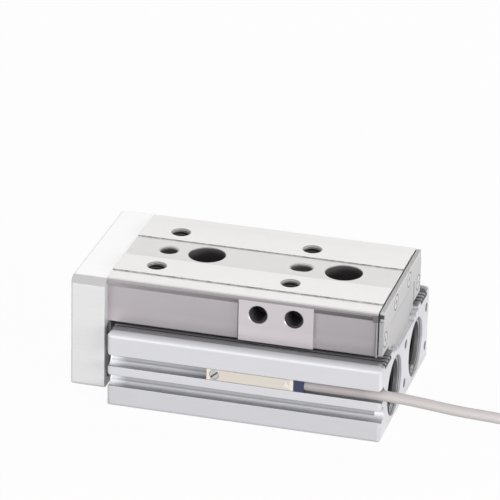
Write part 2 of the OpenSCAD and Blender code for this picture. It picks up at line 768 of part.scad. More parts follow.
// Each side has a recess up to the tapped block and one behind it, which ends in a round
module side_recess(s) {
    end_x = scraper_x - recess_end_inset;
    along_x(table_x - 1, block_x0 + 1) recess_section(s);
    along_x(block_x + block_len, end_x - block_x - block_len) recess_section(s);
    translate([end_x, s * table_w / 2, table_bottom - 1])
        cylinder(r = side_recess, h = recess_top - table_bottom + 1);
}

module table() {
    color([0.92, 0.91, 0.90]) difference() {
        along_x(table_x, table_len) table_section();
        side_recess(-1);
        side_recess(1);
        for (x = tap_xs, s = [-1, 1]) translate([x, s * tap_pitch_y / 2, table_top])
            tapped_hole(m5_r, tap_depth, countersink);
        for (i = [0, 1]) let (extra = i * pin_slot_extra) translate([tap_xs[i], 0, table_top - band_drop]) {
            translate([0, 0, -pin_depth]) pin_slot(pin_depth + 1, extra);
            pin_mouth(extra);
        }
        for (x = mount_xs) translate([x, 0, opening_top - 1]) cylinder(r = access_d / 2, h = table_top);
        for (x = block_tap_xs) translate([x, -table_w / 2, block_tap_z]) rotate([90, 0, 0])
            tapped_hole(m5_r, tap_depth, countersink);
        // seat of the inner end cap and the threads for the screws of both caps and of the plate
        along_x(table_x - 1, small_pocket + 1) translate([-small_cap_w / 2 - slip, table_bottom - 1])
            square([small_cap_w + 2 * slip, small_cap_top + slip - table_bottom + 1]);
        for (p = inner_cap_screws)
            rod_along_x(table_x, p[0], p[1], cap_screw_r, small_pocket + cap_screw_len);
        for (p = cap_screws)
            rod_along_x(scraper_x - cap_screw_len, p[0], p[1], cap_screw_r, cap_screw_len + 1);
        for (s = [-1, 1]) rod_along_x(table_x - 1, s * plate_bolt_pitch / 2, plate_bolt_z, bolt_r, bolt_len);
    }
}

// The caps and scrapers straddle the rail
module straddle(width, top, bottom, opening, ceiling) {
    difference() {
        translate([-width / 2, bottom]) square([width, top - bottom]);
        translate([-opening / 2, bottom - 1]) square([opening, ceiling - bottom + 1]);
    }
}

module end_cap() {
    side = 0.4;
    notch = 0.6;
    color([0.8, 0.8, 0.81]) difference() {
        along_x(cap_x, cap_t) difference() {
            straddle(table_w - 2 * side, table_top - strip_drop, table_bottom + cap_low, cap_opening_w,
                opening_top + cap_clear);
            for (s = [-1, 1]) translate([s * (table_w / 2 - side), table_top - strip_drop])
                square([2 * notch, 2 * (table_top - strip_drop - recess_top)], center = true);
        }
        for (p = cap_screws) translate([cap_x + cap_t, p[0], p[1]]) cross_screw_hole(cap_screw_r);
    }
}

module scraper() {
    color([0.1, 0.1, 0.1]) difference() {
        along_x(scraper_x, scraper_t) straddle(table_w - 2 * scraper_in,
            table_top - strip_drop - scraper_in / 2, table_bottom + scraper_low, opening_w, opening_top);
        for (p = cap_screws) rod_along_x(scraper_x - 1, p[0], p[1], cap_screw_r + slip, scraper_t + 2);
    }
}

module inner_end_cap() {
    x = table_x + small_pocket - scraper_t - cap_t;
    color([0.8, 0.8, 0.81]) difference() {
        along_x(x, cap_t) straddle(small_cap_w, small_cap_top, table_bottom + cap_low, inner_opening_w,
            opening_top + cap_clear);
        for (p = inner_cap_screws) translate([x, p[0], p[1]]) mirror([1, 0, 0]) cross_screw_hole(cap_screw_r);
    }
}

module inner_scraper() {
    x = table_x + small_pocket - scraper_t;
    color([0.1, 0.1, 0.1]) difference() {
        along_x(x, scraper_t) straddle(small_cap_w - scraper_in / 2, small_cap_top - scraper_in / 4,
            table_bottom + scraper_low, opening_w, opening_top);
        for (p = inner_cap_screws) rod_along_x(x - 1, p[0], p[1], cap_screw_r + slip, scraper_t + 2);
    }
}

module end_cap_screws() {
    color([0.6, 0.6, 0.6]) for (p = cap_screws) translate([cap_x + cap_t, p[0], p[1]])
        cross_screw(cap_screw_r - slip, cap_screw_len + cap_t + scraper_t - 0.3);
}

module inner_cap_screws() {
    x = table_x + small_pocket - scraper_t - cap_t;
    color([0.6, 0.6, 0.6]) for (p = inner_cap_screws) translate([x, p[0], p[1]]) mirror([1, 0, 0])
        cross_screw(cap_screw_r - slip, cap_screw_len + cap_t + scraper_t - 0.3);
}

module ball_rows() {
    first = table_x + small_pocket + ball_d;
    last = scraper_x - ball_d;
    color([0.7, 0.7, 0.72]) for (s = [-1, 1], i = [0:balls_per_row - 1])
        translate([first + i * (last - first) / (balls_per_row - 1), s * track_y, track_z])
            sphere(d = ball_d);
}

// ---- End plate ----

module plate_outline() {
    half = plate_w / 2;
    low = 0.8;
    intersection() {
        along_x(plate_x, plate_t) polygon([
            [-half, plate_bottom + low], [-half + low, plate_bottom],
            [half - low, plate_bottom], [half, plate_bottom + low],
            [half, plate_top - plate_corner], [half - plate_corner, plate_top],
            [-half + plate_corner, plate_top], [-half, plate_top - plate_corner]
        ]);
        across_y(plate_w + 2) plate_side(plate_bottom, plate_top);
        translate([0, 0, -1]) linear_extrude(plate_top + 2) plate_side(-half, half);
    }
}

// The plate's section along X with the edges of its outer face broken, from low to high
module plate_side(low, high) {
    polygon([[table_x, low], [table_x, high], [plate_x + plate_edge, high], [plate_x, high - plate_edge],
        [plate_x, low + plate_edge], [plate_x + plate_edge, low]]);
}

module end_plate() {
    color([0.88, 0.88, 0.89]) difference() {
        plate_outline();
        both_bores() {
            rod_along_x(plate_x - 1, 0, 0, bush_shaft_r + slip, plate_t + 2);
            rod_along_x(plate_x - 1, 0, 0, bush_flange_r + 0.2, plate_seat + 1);
        }
        for (s = [-1, 1]) {
            rod_along_x(plate_x - 1, s * plate_bolt_pitch / 2, plate_bolt_z, bolt_r + 0.2, plate_t + 2);
            rod_along_x(plate_x - 1, s * plate_bolt_pitch / 2, plate_bolt_z, bolt_head_r + 0.3,
                plate_seat + 1);
        }
        for (s = [-0.5, 0.5], i = [0, 1])
            translate([plate_x, s * plate_tap_pitch_y, plate_tap_z + i * plate_tap_pitch_z])
                rotate([0, -90, 0]) tapped_hole(plate_tap_d / 2, plate_t + 1, countersink);
    }
}

module end_plate_bolts() {
    color([0.2, 0.2, 0.22]) for (s = [-1, 1])
        translate([plate_x + plate_seat - bolt_head_h, s * plate_bolt_pitch / 2, plate_bolt_z])
            cap_screw_x(bolt_r - slip, bolt_head_r, bolt_head_h, bolt_len, 3);
}

module floating_bushes() {
    x = plate_x + plate_seat;
    color([0.6, 0.6, 0.62]) both_bores() difference() {
        union() {
            rod_along_x(x - eps, 0, 0, bush_shaft_r, rod_end_x - x + eps);
            rod_along_x(x - bush_flange_t, 0, 0, bush_flange_r, bush_flange_t);
        }
        rod_along_x(x - 2, 0, 0, rod_bolt_r + 0.1, plate_t);
    }
}

module rod_bolts() {
    color([0.2, 0.2, 0.22]) both_bores()
        translate([plate_x + plate_seat - bush_flange_t - rod_bolt_head_h, 0, 0])
            cap_screw_x(rod_bolt_r - slip, rod_bolt_head_r, rod_bolt_head_h, rod_bolt_len + 2, 2.5);
}

// ---- Switch and lead ----

// A length of the sensor groove's filling: round at the back, flat at the mouth
module groove_filling(x, length) {
    along_x(x, length) intersection() {
        union() {
            translate([groove_y, groove_z_hi]) circle(r = groove_r - 0.1);
            translate([-body_w / 2 - 1, groove_z_hi - switch_h / 2]) square([groove_in + 1, switch_h]);
        }
        translate([-body_w / 2 - switch_proud, 0]) square([body_w, rim_h]);
    }
}

module switch_housing() {
    color([0.91, 0.88, 0.82]) difference() {
        groove_filling(switch_x, switch_len);
        translate([switch_x + switch_screw_x, -body_w / 2 - 1, groove_z_hi]) rotate([-90, 0, 0])
            cylinder(r = switch_screw_r + slip, h = 6);
    }
}

module switch_boot() {
    color([0.18, 0.22, 0.36]) groove_filling(boot_x, boot_len);
}

module switch_screw() {
    color([0.7, 0.7, 0.7]) translate([switch_x + switch_screw_x, -body_w / 2 + 0.1, groove_z_hi])
        rotate([-90, 0, 0]) difference() {
            cylinder(r = switch_screw_r, h = groove_in + groove_r - 0.5);
            rotate(-switch_slot_turn) translate([-switch_screw_r - 1, -0.2, -eps])
                cube([2 * switch_screw_r + 2, 0.4, 0.6]);
        }
}

// A cord's tube: rings of points square to the route, joined by quads
function unit(v) = v / norm(v);
function route_dir(p, i) = unit(p[min(i + 1, len(p) - 1)] - p[max(i - 1, 0)]);
function ring_points(p, i, r, sides) =
    let (d = route_dir(p, i), u = unit(cross(d, [0, 0, 1])), w = cross(u, d))
    [for (k = [0:sides - 1]) p[i] + r * (cos(360 * k / sides) * u + sin(360 * k / sides) * w)];

module tube(points, r, sides = 8) {
    n = len(points);
    polyhedron(
        points = [for (i = [0:n - 1]) each ring_points(points, i, r, sides)],
        faces = [
            [for (k = [0:sides - 1]) k],
            [for (k = [sides - 1:-1:0]) (n - 1) * sides + k],
            for (i = [0:n - 2], k = [0:sides - 1]) let (a = i * sides + k, b = i * sides + (k + 1) % sides)
                [a, a + sides, b + sides, b]
        ]);
}

module switch_lead() {
    color([0.8, 0.78, 0.78]) tube([[lead_x, groove_y, groove_z_hi], each lead_route], lead_r);
}

module lead_coil() {
    color([0.8, 0.78, 0.78]) translate([coil_centre[0], coil_centre[1], coil_bottom]) rotate_extrude($fn = 96)
        translate([coil_inner, 0]) square([coil_r + lead_r - coil_inner, coil_height]);
}

module coil_tie() {
    width = coil_r + lead_r - coil_inner;
    color([0.12, 0.12, 0.12]) translate([coil_centre[0], coil_centre[1], 0]) rotate(tie_angle)
        translate([coil_inner - tie_t - slip, tie_w / 2, 0]) rotate([90, 0, 0]) linear_extrude(tie_w)
            difference() {
                square([width + 2 * tie_t + 2 * slip, coil_height + 2 * tie_t + slip]);
                translate([tie_t, tie_t - slip]) square([width + 2 * slip, coil_height + 2 * slip]);
            }
}

module lead_tail() {
    color([0.8, 0.78, 0.78]) tube(lead_end, lead_r);
}

module lead_cores() {
    tip = lead_end[len(lead_end) - 1];
    back = route_dir(lead_end, len(lead_end) - 1);
    for (k = [-1:1]) color([0.5 + 0.2 * k, 0.3, 0.3])
        tube([for (t = [0, 2, 5, 8]) tip + t * back + [0, k * (0.8 + t / 10), -t / 10]], 0.35);
}

body_housing();
rail();
rail_screws();
head_caps();
head_cap_orings();
head_bumpers();
head_retaining_rings();
rod_covers();
rod_cover_orings();
rod_bushes();
rod_seals();
rod_bumpers();
rod_retaining_rings();
switch_housing();
switch_boot();
switch_screw();
table();
end_plate();
end_plate_bolts();
piston_rods();
rod_bolts();
floating_bushes();
pistons();
piston_seals();
piston_magnets();
wear_rings();
end_cap();
scraper();
inner_end_cap();
inner_scraper();
end_cap_screws();
inner_cap_screws();
ball_rows();
switch_lead();
lead_coil();
coil_tie();
lead_tail();
lead_cores();
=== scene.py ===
"""A pneumatic slide table: its finishes and painted light and shade, threads, switch window and
lead, in a plain studio.
"""
import json
import math

import bmesh
import bpy
from mathutils import Matrix, Vector


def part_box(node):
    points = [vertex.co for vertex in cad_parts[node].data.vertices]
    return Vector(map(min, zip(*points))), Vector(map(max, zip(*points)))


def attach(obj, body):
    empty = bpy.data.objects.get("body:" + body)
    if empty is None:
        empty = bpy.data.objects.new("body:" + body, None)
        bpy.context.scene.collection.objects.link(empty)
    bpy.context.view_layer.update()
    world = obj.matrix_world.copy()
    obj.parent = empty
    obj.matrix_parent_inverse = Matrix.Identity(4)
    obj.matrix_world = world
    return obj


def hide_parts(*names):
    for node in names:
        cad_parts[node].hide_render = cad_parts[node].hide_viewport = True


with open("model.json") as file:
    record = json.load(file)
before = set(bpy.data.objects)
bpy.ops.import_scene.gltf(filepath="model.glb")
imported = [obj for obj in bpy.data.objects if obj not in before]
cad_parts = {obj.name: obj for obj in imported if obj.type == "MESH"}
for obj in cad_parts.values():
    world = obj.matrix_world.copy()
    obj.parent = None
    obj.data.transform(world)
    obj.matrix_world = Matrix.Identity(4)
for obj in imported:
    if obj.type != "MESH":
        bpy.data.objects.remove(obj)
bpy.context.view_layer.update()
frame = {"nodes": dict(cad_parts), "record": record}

MM = 0.001
nodes = frame["nodes"]
mounts = {m["name"]: m for m in frame["record"]["mounts"]}


def box_mm(node):
    """The lowest and the highest corner of a node, in millimetres."""
    return [Vector(corner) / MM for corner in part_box(node)]


# ---- Shader maths: a wrapped socket with the arithmetic that the finishes need ----

MID_NOISE = 0.5


class Value:
    """A socket whose sums and products are new sockets of the same tree."""

    def __init__(self, tree, socket):
        self.tree = tree
        self.socket = socket

    def math(self, operation, *others, clamp=False):
        return self.tree.maths(operation, self, *others, clamp=clamp)

    def __add__(self, other):
        return self.math("ADD", other)

    def __mul__(self, other):
        return self.math("MULTIPLY", other)

    def __sub__(self, other):
        return self.math("SUBTRACT", other)

    def __rsub__(self, other):
        return self.tree.maths("SUBTRACT", other, self)

    def __truediv__(self, other):
        return self.math("DIVIDE", other)

    __radd__ = __add__
    __rmul__ = __mul__

    def above(self, edge, soft=0.1):
        """0 below edge and 1 above it, over a soft width."""
        return ((self - edge) / soft).math("ADD", 0.5, clamp=True)

    def below(self, edge, soft=0.1):
        return ((edge - self) / soft).math("ADD", 0.5, clamp=True)

    def both(self, other):
        return self.math("MINIMUM", other)

    def either(self, other):
        return self.math("MAXIMUM", other)

    def around(self, middle, spread):
        """Noise, made to vary about a middle."""
        return (self - MID_NOISE) * spread + middle


# The colour sockets of a Mix node
MIX_FIRST, MIX_SECOND, MIX_RESULT = 6, 7, 2
EDGE_SAMPLES = 6


class Tree:
    """A node tree. Each node in it comes from add, and each number or link goes in through feed."""

    def __init__(self, owner):
        owner.use_nodes = True
        self.raw = owner.node_tree

    def add(self, kind, inputs=None, **settings):
        """A node of a kind with its settings, and then the number or link of each of its inputs."""
        node = self.raw.nodes.new(kind)
        for key, value in settings.items():
            setattr(node, key, value)
        for key, value in (inputs or {}).items():
            self.feed(node.inputs[key], value)
        return node

    def feed(self, socket, value):
        if isinstance(value, Value):
            value = value.socket
        if isinstance(value, bpy.types.NodeSocket):
            self.raw.links.new(value, socket)
        else:
            socket.default_value = value

    def maths(self, operation, *terms, clamp=False):
        inputs = dict(enumerate(terms))
        node = self.add("ShaderNodeMath", inputs, operation=operation, use_clamp=clamp)
        return Value(self, node.outputs[0])

    def background_rays(self):
        """1 for the rays that meet the white background: from the camera, gloss or glass."""
        path = self.add("ShaderNodeLightPath")
        camera, gloss, glass = (Value(self, path.outputs[f"Is {kind} Ray"])
                                for kind in ("Camera", "Glossy", "Transmission"))
        return camera.either(gloss).either(glass)


class Finish(Tree):
    """A material in the making: a Principled shader whose sockets take values or expressions."""

    def __init__(self, name, colour, rough, metallic=0.0, specular=0.5):
        self.name = name
        self.material = bpy.data.materials.new(name)
        super().__init__(self.material)
        self.shader = self.raw.nodes["Principled BSDF"]
        self.vector = None
        self.set("Base Color", (*colour, 1))
        self.set("Roughness", rough)
        self.set("Metallic", metallic)
        self.set("Specular IOR Level", specular)

    def set(self, name, value):
        self.feed(self.shader.inputs[name], value)

    def place(self):
        """Object coordinates in millimetres, as one vector."""
        if self.vector is None:
            co = self.add("ShaderNodeTexCoord").outputs["Object"]
            scaled = self.add("ShaderNodeVectorMath", {0: co, "Scale": 1 / MM}, operation="SCALE")
            self.vector = scaled.outputs[0]
        return self.vector

    def axes(self):
        """Object coordinates in millimetres, as x, y and z."""
        split = self.add("ShaderNodeSeparateXYZ", {0: self.place()})
        return [Value(self, socket) for socket in split.outputs]

    def noise(self, scale, detail=2.0, rough=0.5, stretch=None):
        """Noise over the place, each of whose axes may be multiplied by its own factor first."""
        vector = self.place()
        if stretch:
            node = self.add("ShaderNodeVectorMath", {0: vector, 1: stretch}, operation="MULTIPLY")
            vector = node.outputs[0]
        inputs = {"Vector": vector, "Scale": scale, "Detail": detail, "Roughness": rough}
        return Value(self, self.add("ShaderNodeTexNoise", inputs).outputs["Fac"])

    def mix(self, factor, first, second):
        inputs = {"Factor": factor, MIX_FIRST: (*first, 1), MIX_SECOND: (*second, 1)}
        return self.add("ShaderNodeMix", inputs, data_type="RGBA").outputs[MIX_RESULT]

    def bump(self, height, strength, distance, edge):
        """Bump of a height in millimetres, over the piece's edges softened by a radius."""
        soft = self.add("ShaderNodeBevel", {"Radius": edge * MM}, samples=EDGE_SAMPLES)
        inputs = {"Strength": strength, "Distance": distance * MM, "Height": height,
                  "Normal": soft.outputs[0]}
        self.set("Normal", self.add("ShaderNodeBump", inputs).outputs[0])

    def colour_by(self, colour, tone_and_light):
        """The base colour, or a socket that gives it, brightened or darkened by an expression,
        which holds the finish's marks and the light and shade painted into it.
        """
        base = self.add("ShaderNodeVectorMath", {0: colour, "Scale": tone_and_light}, operation="SCALE")
        self.set("Base Color", base.outputs[0])


# ---- Masks: 1 in a place and 0 outside it, in millimetres ----

def within(value, start, end, soft=0.1):
    """1 where a value lies between start and end."""
    return value.above(start, soft).both(value.below(end, soft))


def under(value, top, first, last, soft=0.1):
    """1 where a value lies from first to last below a top."""
    return within(value, top - last, top - first, soft)


def centred(value, places):
    """The distance from the nearer of two places, along one axis."""
    middle, half = (places[0] + places[1]) / 2, (places[1] - places[0]) / 2
    return (value - middle).math("ABSOLUTE") - half


def disc(across, up, radius, soft=0.06):
    """1 within a radius of the point where both distances are 0."""
    return (across * across + up * up).math("SQRT").below(radius, soft)


def tones(*places):
    """How bright a surface is painted, from rows of a mask and how much brighter it is there:
    painted light and shade, and the whiter ends of the switch. A strength below 0 darkens."""
    bright = 1
    for mask, strength in places:
        bright = (mask * strength + 1) * bright
    return bright


# ---- Where the finishes change, and where light and shade are painted, in millimetres ----

# The table
BLOCK_FROM = 32.4               # from its rod end to the tapped side block
BLOCK_LONG = 18.2
BLOCK_TAPS_X = (7.05, 15.75)
BLOCK_TAP_Z = 26.5
BLOCK_TAP_R = 2.25              # just outside a side tap's wall
BLOCK_TAP_DEPTH = 7
BLOCK_LINE = (0.22, 0.46)       # the painted shade line before the block, back from it
HOLE_ROWS_X = (-20.6, 12.3)     # the two rows of holes across its top
TAPS_Y = 10.35
TAP_R = 2.12                    # just outside a tap's wall
TAP_CHAMFER = 0.3
PIN_MOUTH_R = 3.2
BAND_HALF = 5.7                 # half the band between its ground pads
PAD_EDGES_Y = (5.79, 15.01)     # the steps beside a pad
TOP_SKIN = 0.6                  # holds its top with the steps in it
SIDE_SKIN = 1.15                # holds its sides with their recesses
LIP = (0.85, 1.36)              # the lip's lower half, down from the top
SLOPE = (1.4, 2.75)             # the slope under the lip, down from the top
STEP_LINE = (0.06, 0.4)         # the painted shade line at a pad's step, down from the top
STEP_LINE_HALF = 0.05           # and half its width
LAST_LONG = 1.35                # the last stretch of its sides, past the recesses
TABLE_FOOT = 2.2                # the lower part of its sides, up from its underside

# The end plate, down from its top
PLATE_TOP = 0.04
PLATE_CORNER = (0.05, 1.7)

# The body
BORES_TOP_Z = 17.5
CAP_SEAT = 2.2                  # depth of the head caps' seats
END_TAPS_Y = (0, 22)            # the small tapped holes in its head end
END_TAPS_Z = (4.2, 14.5)
END_TAP_R = 1.26
END_TAP_DEPTH = 6
LAND_GROOVES_Y = (15.5, 22)     # the fine grooves beside the guide
LAND_GROOVES_Z = (17.8, 18.62)
LAND_Z = 18.65                  # height of its top beside the guide
LAND_EDGE_Y = 23.6
BODY_RIM = (1.3, 1.6)           # its long upper edges, down from the top and in from the side
FOOT_Z = 5.2                    # height of the foot of its front
SENSOR_GROOVES_IN = (1.6, 4)    # the hollow of its sensor grooves, behind its front
SENSOR_GROOVES_Z = (4.4, 14.2)

# The end cap and the switch
CAP_SCREWS = ((17, 23.2), (6.8, 28.3))    # how far each lies from the middle, and how high
# Radius of the painted shade round each cap screw
CAP_SCREW_SHADE_R = 2.0
CAP_RIM = 0.06                  # in from its side
CAP_NOTCH_IN = 0.64             # in from its side
CAP_NOTCH = (0.7, 1.75)         # down from its top
SWITCH_Z = 11.9                 # height of the switch's middle
SWITCH_END = 0.9                # length of its two white ends
SWITCH_SCREW_R = 1.15
SWITCH_SLOT_HALF = 0.22         # half the width of its screw's slot
SWITCH_SLOT_TURN = math.radians(40)    # how far its screw's slot is turned
LEAD_OUT_X = 37                 # where the lead leaves its groove


def table_flank(f):
    """1 on the table's sides and underside, and 0 on its ground top."""
    z = f.axes()[2]
    return z.below(box_mm("table")[1].z - TOP_SKIN, 0.08)


def table_painted_light(f):
    """Light and shade painted on the table: painted shade in its holes, thin painted shade lines at
    its steps and before its side block, painted shadow at its lip, and painted light brightest on
    its side block and the foot of its sides."""
    x, y, z = f.axes()
    start, end = box_mm("table")
    block_start = start.x + BLOCK_FROM
    side = y.math("ABSOLUTE")
    outer = side.above(end.y - SIDE_SKIN)
    # 0 at its rod end and 1 at its head end
    along = x.above((start.x + end.x) / 2, end.x - start.x)

    inner = within(z, start.z + 0.5, end.z - TOP_SKIN).both(side.below(end.y - SIDE_SKIN))
    inner = inner.both(within(x, start.x + 0.4, end.x - 0.4))
    rows = centred(x, HOLE_ROWS_X)
    pins = disc(rows, y, PIN_MOUTH_R)
    taps = side - TAPS_Y
    mouths = disc(rows, taps, TAP_R + TAP_CHAMFER) - disc(rows, taps, TAP_R)
    mouths = mouths.both(z.above(end.z - 0.5))
    side_taps = disc(centred(x, BLOCK_TAPS_X), z - BLOCK_TAP_Z, BLOCK_TAP_R)
    side_taps = side_taps.both(y.below(start.y + BLOCK_TAP_DEPTH, 0.5))
    holes = (inner * 0.6 * (1 - pins * 0.5)).either(side_taps * 0.93).either(mouths * 0.5)

    below_lip = z.below(end.z - SLOPE[0]).both(outer)
    in_block = within(x, block_start, block_start + BLOCK_LONG)
    block_line = under(x, block_start, *BLOCK_LINE, 0.05).both(z.below(end.z - 2.6)).both(outer)
    lip = under(z, end.z, *LIP).both(outer)
    slope = under(z, end.z, *SLOPE).both(outer.both(1 - in_block))
    foot = z.below(start.z + TABLE_FOOT, 4).both(outer)
    last = x.above(end.x - LAST_LONG, 0.05).both(outer).both(under(z, end.z, 1, SLOPE[1]))
    band = within(y, -BAND_HALF, BAND_HALF).both(z.above(end.z - 0.7))
    steps = centred(side, PAD_EDGES_Y).math("ABSOLUTE").below(STEP_LINE_HALF, 0.06)
    steps = steps.both(under(z, end.z, *STEP_LINE, 0.04))
    # Painted light where the strength is above 0, painted shade where it is below
    return tones(
        (in_block.both(below_lip), 0.41), (block_line, -0.75),
        (lip, along * -0.3 - 0.15), (slope, 0.39 - along * 0.77), (last, -0.35),
        (foot, 0.26), (below_lip * along, -0.13),
        (band, -0.14), (steps, f.noise(0.9, 3.0) * -1.1), (holes, -1),
    )


def plate_painted_light(f):
    """Light and shade painted on the end plate: brightest on top, and painted shade darkest on the
    chamfers of its upper corners.
    """
    _, y, z = f.axes()
    end = box_mm("end_plate")[1]
    top = z.above(end.z - PLATE_TOP, 0.04)
    corner = under(z, end.z, *PLATE_CORNER).both(y.math("ABSOLUTE").above(end.y - 1.8))
    return 1 - (1 - top) * 0.22 - corner * 0.1


def body_painted_light(f):
    """Light and shade painted on the body: painted shade in its bores, ports and screw holes, its
    fine grooves, its top, the foot of its front and its long upper edges, and painted light in its
    sensor grooves and on its end face."""
    x, y, z = f.axes()
    start, end = box_mm("body_housing")
    side = y.math("ABSOLUTE")
    face = x.above(end.x - 0.05, 0.04)
    bores = within(x, start.x + 0.3, end.x - CAP_SEAT).both(within(y, start.y + 3, end.y - 0.5))
    bores = bores.both(within(z, start.z + 0.5, BORES_TOP_Z))
    taps = disc(centred(y, END_TAPS_Y), centred(z, END_TAPS_Z), END_TAP_R)
    taps = taps.both(x.above(end.x - END_TAP_DEPTH, 0.5))
    land_grooves = within(side, *LAND_GROOVES_Y).both(within(z, *LAND_GROOVES_Z))
    land = z.above(LAND_Z).both(side.below(LAND_EDGE_Y, 0.3))
    foot = z.below(FOOT_Z, 0.3).both(y.below(0, 1)) * (1 - face)
    rims = z.above(end.z - BODY_RIM[0], 0.5).both(side.above(end.y - BODY_RIM[1], 0.3))
    # Painted shade, the strongest of the places at each point
    dark = bores * 0.6
    for place, strength in (
            (taps, 0.5), (land_grooves, 0.85), (land, 0.58), (foot, 0.09), (rims, 0.05)):
        dark = dark.either(place * strength)
    # Painted light in the sensor grooves, strongest near their start at the rod end
    sensor_grooves = within(y, *(start.y + depth for depth in SENSOR_GROOVES_IN), 0.5)
    sensor_grooves = sensor_grooves.both(within(z, *SENSOR_GROOVES_Z))
    glow = sensor_grooves * (x.below(start.x + 2.5, 3) * 0.5 + 0.06)
    return 1 - dark + glow + face * z.below(9, 14) * 0.14


def cap_painted_light(f):
    """Light and shade painted on the end cap: painted shade round its rim, in the notch there, on
    its face and in a ring round each screw, and painted light on its top."""
    x, y, z = f.axes()
    end = box_mm("end_cap")[1]
    side = y.math("ABSOLUTE")
    rim = side.above(end.y - CAP_RIM, 0.05)
    notch = side.above(end.y - CAP_NOTCH_IN, 0.03).both(under(z, end.z, *CAP_NOTCH))
    top = z.above(end.z - 0.6)
    face = within(z, 20, 26, 8).both(x.above(end.x - 0.1, 0.05))
    screw_shades = [(disc(side - away, z - up, CAP_SCREW_SHADE_R).both(x.above(end.x - 0.5)), -0.95)
             for away, up in CAP_SCREWS]
    return tones((rim, -0.2), (notch, -0.9), (top, 0.18), (face, -0.08), *screw_shades)


def switch_colour_and_shade(f):
    """The switch's housing is whiter at its two ends, with painted shade along its edges for the
    gaps round it.
    """
    x, _, z = f.axes()
    start, end = box_mm("switch_housing")
    ends = x.below(start.x + SWITCH_END).either(x.above(end.x - SWITCH_END))
    gaps = z.above(end.z - 0.17, 0.05).either(z.below(start.z + 0.12, 0.05))
    gaps = gaps.either(x.below(start.x + 0.09, 0.05))
    return tones((ends, 0.2), (gaps, -0.85))


def lead_painted_shade(f):
    """Painted shade darkens the lead where it lies in its groove."""
    return tones((f.axes()[0].below(LEAD_OUT_X, 6), -0.3))


def screw_painted_shade(f):
    """Painted shade on the small screws: the switch's is darker all over, with more in its slot and
    round its rim.
    """
    x, _, z = f.axes()
    across = x - (box_mm("switch_screw")[0].x + SWITCH_SCREW_R)
    up = z - SWITCH_Z
    away = across * math.sin(SWITCH_SLOT_TURN) - up * math.cos(SWITCH_SLOT_TURN)
    slot = away.math("ABSOLUTE").below(SWITCH_SLOT_HALF, 0.08)
    rim = 1 - disc(across, up, SWITCH_SCREW_R - 0.12, 0.1)
    here = disc(across, up, SWITCH_SCREW_R + 0.4)
    return 1 - here.both((slot * 0.75).either(rim * 0.6).either(0.3))


# ---- Finishes, some with light and shade painted into their colour ----

def anodised(name, colour, metallic, tone_and_light):
    """Blasted, clear anodised aluminium with faint extrusion lines, and light and shade painted
    into its colour.
    """
    rough = 0.5
    f = Finish(name, colour, rough, metallic)
    fine = f.noise(9.0, 3.0, 0.6)
    lines = f.noise(1.0, stretch=(0.05, 3.0, 3.0))
    cloud = f.noise(0.12)
    marks = lines.around(1, 0.05) + cloud.around(0, 0.03) + fine.around(0, 0.03)
    f.colour_by(colour, marks * tone_and_light(f))
    f.set("Roughness", fine.around(rough, 0.12))
    f.bump(fine, 0.35, 0.02, edge=0.18)
    return f


def ground(name, colour, rough, metallic, flank=None, tone_and_light=None):
    """Ground and nickel plated steel, its grinding lines running along the table, and light and
    shade may be painted into its colour. Its sides may be duller, in the flank's colour and with
    fainter lines."""
    f = Finish(name, colour, rough, metallic)
    scratches = f.noise(1.0, 3.0, 0.6, stretch=(0.06, 9.0, 9.0))
    cloud = f.noise(0.15)
    lines = scratches.around(0, 0.05)
    if flank:
        side = table_flank(f)
        colour = f.mix(side, colour, flank)
        lines = lines * (1 - side * 0.8)
    marks = lines + cloud.around(1, 0.04)
    f.colour_by(colour, marks * tone_and_light(f) if tone_and_light else marks)
    f.set("Roughness", scratches.around(rough, 0.15))
    f.bump(scratches, 0.2, 0.01, edge=0.08)
    return f


def moulded(name, colour, rough, grain=6.0, edge=0.1, tone_and_light=None, specular=0.5):
    """Moulded plastic with a fine even grain, whose colour may carry painted light and shade."""
    f = Finish(name, colour, rough, specular=specular)
    fine = f.noise(grain)
    if tone_and_light:
        f.colour_by(colour, tone_and_light(f))
    f.set("Roughness", fine.around(rough, 0.1))
    f.bump(fine, 0.25, 0.02, edge)
    return f


def plain_metal(name, colour, rough, metallic=0.9, tone_and_light=None):
    """Turned or stamped metal with faint marks, whose colour may carry painted light and shade."""
    f = Finish(name, colour, rough, metallic)
    fine = f.noise(8.0, 3.0)
    if tone_and_light:
        f.colour_by(colour, tone_and_light(f))
    f.set("Roughness", fine.around(rough, 0.15))
    f.bump(fine, 0.3, 0.01, edge=0.06)
    return f


TABLE_FLANK_COLOUR = (0.425, 0.397, 0.413)

